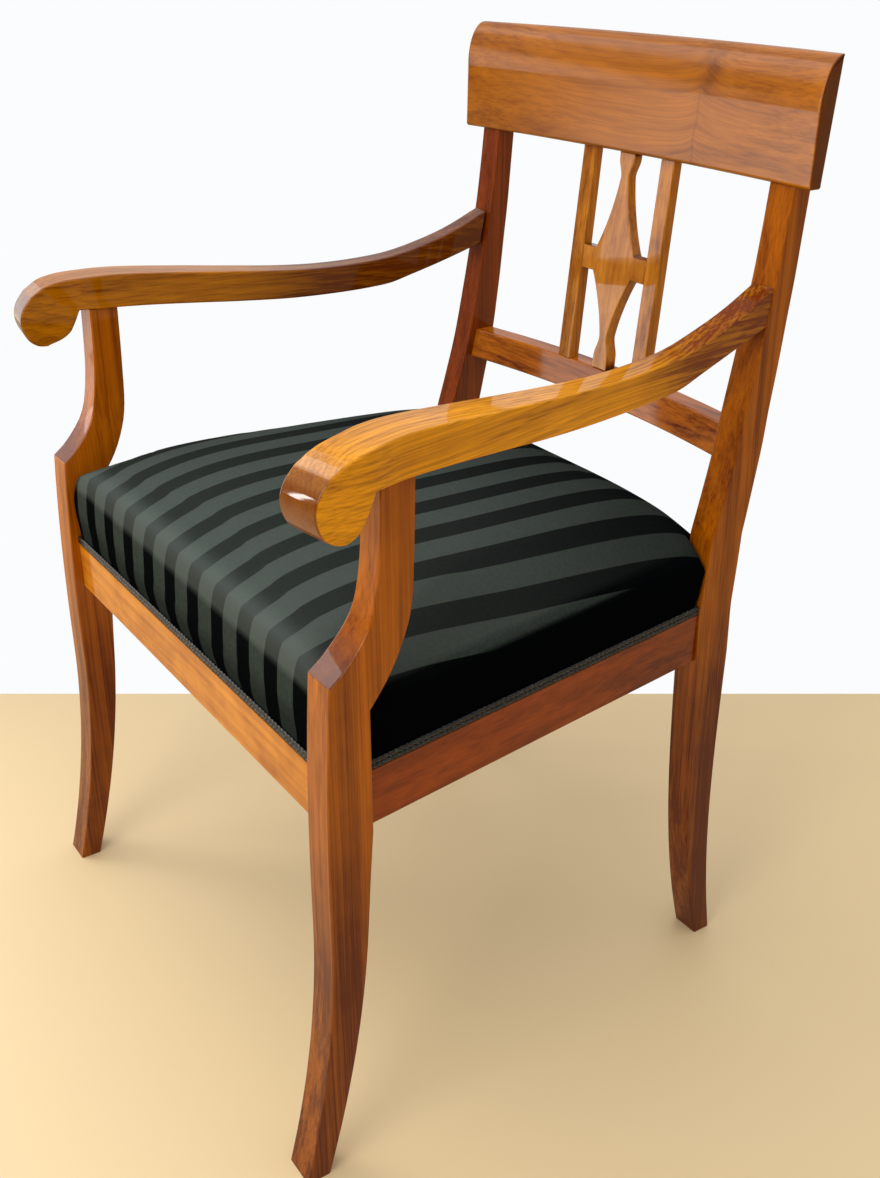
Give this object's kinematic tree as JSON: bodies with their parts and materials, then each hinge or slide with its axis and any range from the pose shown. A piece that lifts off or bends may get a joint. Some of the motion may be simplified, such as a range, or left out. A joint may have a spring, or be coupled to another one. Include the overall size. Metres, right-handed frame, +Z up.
{
  "type": "dining armchair",
  "caption": "Wooden dining armchair with sabre legs, scrolled arms, a bowed crest rail, an open splat with a waisted figure and a padded striped seat.",
  "frame": {"origin": "on the floor, under the middle of the chair's outline", "axes": "+Z up; the chair faces -Y; +X is to the right as seen from the front"},
  "size_m": [0.6252, 0.5878, 0.9],
  "materials": {
    "varnished_cherry": "glossy clear varnish over amber cherry",
    "beech": "bare, planed",
    "steel": "plain wood screws",
    "striped_satin": "dark green and black satin stripes",
    "black_braid": "twisted double cord",
    "jute_webbing": "woven",
    "black_lining": "thin woven cloth"
  },
  "bodies": {
    "root": {"front_rail": "varnished_cherry", "back_rail": "varnished_cherry", "crest_rail": "varnished_cherry", "cross_rail": "varnished_cherry", "splat_figure": "varnished_cherry", "front_leg_left": "varnished_cherry", "front_leg_right": "varnished_cherry", "back_leg_left": "varnished_cherry", "back_leg_right": "varnished_cherry", "side_rail_left": "varnished_cherry", "side_rail_right": "varnished_cherry", "splat_bar_left": "varnished_cherry", "splat_bar_right": "varnished_cherry", "arm_left": "varnished_cherry", "arm_right": "varnished_cherry", "pad_board_front": "beech", "pad_board_back": "beech", "corner_block_front_left": "beech", "corner_block_front_right": "beech", "corner_block_back_left": "beech", "corner_block_back_right": "beech", "splat_dowel_left": "beech", "splat_dowel_right": "beech", "pad_board_side_left": "beech", "pad_board_side_right": "beech", "seat_screw_front_left": "steel", "seat_screw_front_right": "steel", "seat_screw_back_left": "steel", "seat_screw_back_right": "steel", "crest_screw_lower_left": "steel", "crest_screw_lower_right": "steel", "crest_screw_upper_left": "steel", "crest_screw_upper_right": "steel", "seat_cushion": "striped_satin", "gimp_front": "black_braid", "gimp_back": "black_braid", "gimp_side_left": "black_braid", "gimp_side_right": "black_braid", "webbing_lengthwise_1": "jute_webbing", "webbing_lengthwise_2": "jute_webbing", "webbing_lengthwise_3": "jute_webbing", "webbing_lengthwise_4": "jute_webbing", "webbing_across_1": "jute_webbing", "webbing_across_2": "jute_webbing", "webbing_across_3": "jute_webbing", "dust_cover": "black_lining"}
  },
  "joints": []
}
